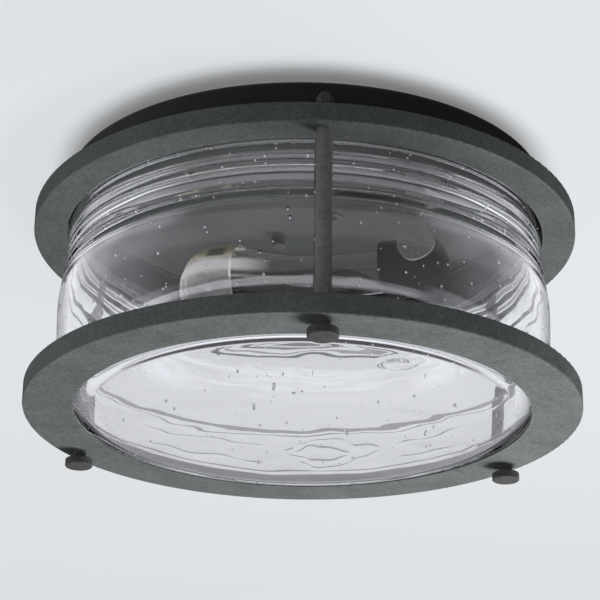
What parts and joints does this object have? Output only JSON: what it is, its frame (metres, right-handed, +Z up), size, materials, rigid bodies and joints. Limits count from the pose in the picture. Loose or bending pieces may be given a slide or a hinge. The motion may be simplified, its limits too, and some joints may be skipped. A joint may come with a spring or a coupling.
{
  "type": "outdoor ceiling light",
  "caption": "Round flush ceiling light: a clear seeded glass jar held under a canopy between dark iron rings on rods with thumb nuts, with a screw-base bulb lying across the inside.",
  "frame": {"origin": "on the light's axis in the plane of the ceiling, midway between the two outlet box screw holes of the ceiling strap", "axes": "+Z up towards the ceiling, -Y towards the viewer and the near rod, +X to the viewer's right"},
  "size_m": [0.33, 0.33, 0.1551],
  "materials": {
    "iron": "matte, mottled",
    "clear_glass": "clear, seeded",
    "amber_glass": "clear, faint warm tint",
    "stem_glass": "clear",
    "black_glass": "glossy",
    "brass": "satin",
    "solder": "satin",
    "filament": "matte",
    "phenolic": "matte",
    "steel": "zinc plated",
    "ground_green": "satin",
    "rubber": "matte",
    "nylon": "matte"
  },
  "bodies": {
    "fixture": {"ceiling_gasket": "rubber", "mounting_strap": "steel", "strap_studs": "steel", "pan_cap_nuts": "iron", "ground_screw": "ground_green", "canopy_pan": "iron", "wire_bushing": "nylon", "upper_ring": "iron", "rod_1": "iron", "rod_2": "iron", "rod_3": "iron", "rod_cap_nuts": "iron", "top_gasket": "rubber", "lampholder_bracket": "iron", "foot_rivets": "iron", "lampholder_rivet": "iron", "lampholder_body": "phenolic", "lampholder_cap": "phenolic", "terminal_screws": "brass", "screw_shell": "brass", "centre_contact": "brass"},
    "lower_frame": {"lower_ring": "iron", "seat_gasket": "rubber", "glass_jar": "clear_glass"},
    "bulb_tip": {"bulb_tip": "solder"},
    "bulb": {"bulb_glass": "amber_glass", "bulb_base": "brass", "bulb_insulator": "black_glass", "bulb_stem": "stem_glass", "bulb_filament": "filament"},
    "thumb_washer_1": {"thumb_washer_1": "iron"},
    "thumb_nut_1": {"thumb_nut_1": "iron"},
    "thumb_washer_2": {"thumb_washer_2": "iron"},
    "thumb_nut_2": {"thumb_nut_2": "iron"},
    "thumb_washer_3": {"thumb_washer_3": "iron"},
    "thumb_nut_3": {"thumb_nut_3": "iron"}
  },
  "joints": [
    {"name": "lower_frame_drop", "type": "slide", "parent": "fixture", "child": "lower_frame", "axis": [0, 0, -1], "range_m": [0, 0.15]},
    {"name": "thumb_nut_1_drop", "type": "slide", "parent": "lower_frame", "child": "thumb_washer_1", "axis": [0, 0, -1], "range_m": [0, 0.00721]},
    {"name": "thumb_nut_1_turn", "type": "hinge", "parent": "thumb_washer_1", "child": "thumb_nut_1", "pos_m": [0.01011, -0.15467, -0.1505], "axis": [0, 0, -1], "range_deg": [0, 3240]},
    {"name": "thumb_nut_2_drop", "type": "slide", "parent": "lower_frame", "child": "thumb_washer_2", "axis": [0, 0, -1], "range_m": [0, 0.00721]},
    {"name": "thumb_nut_2_turn", "type": "hinge", "parent": "thumb_washer_2", "child": "thumb_nut_2", "pos_m": [0.12889, 0.08609, -0.1505], "axis": [0, 0, -1], "range_deg": [0, 3240]},
    {"name": "thumb_nut_3_drop", "type": "slide", "parent": "lower_frame", "child": "thumb_washer_3", "axis": [0, 0, -1], "range_m": [0, 0.00721]},
    {"name": "thumb_nut_3_turn", "type": "hinge", "parent": "thumb_washer_3", "child": "thumb_nut_3", "pos_m": [-0.139, 0.06858, -0.1505], "axis": [0, 0, -1], "range_deg": [0, 3240]},
    {"name": "bulb_draw", "type": "slide", "parent": "fixture", "child": "bulb_tip", "axis": [-0.9537, 0.3007, 0], "range_m": [0, 0.01816]},
    {"name": "bulb_turn", "type": "hinge", "parent": "bulb_tip", "child": "bulb", "pos_m": [0.049, -0.012, -0.055], "axis": [-0.9537, 0.3007, 0], "range_deg": [0, 1800]}
  ],
  "couplings": [
    {"joint": "thumb_nut_1_drop", "follows": "thumb_nut_1_turn", "m_per_rad": 0.00012732},
    {"joint": "thumb_nut_2_drop", "follows": "thumb_nut_2_turn", "m_per_rad": 0.00012732},
    {"joint": "thumb_nut_3_drop", "follows": "thumb_nut_3_turn", "m_per_rad": 0.00012732},
    {"joint": "bulb_draw", "follows": "bulb_turn", "m_per_rad": 0.00057757}
  ]
}
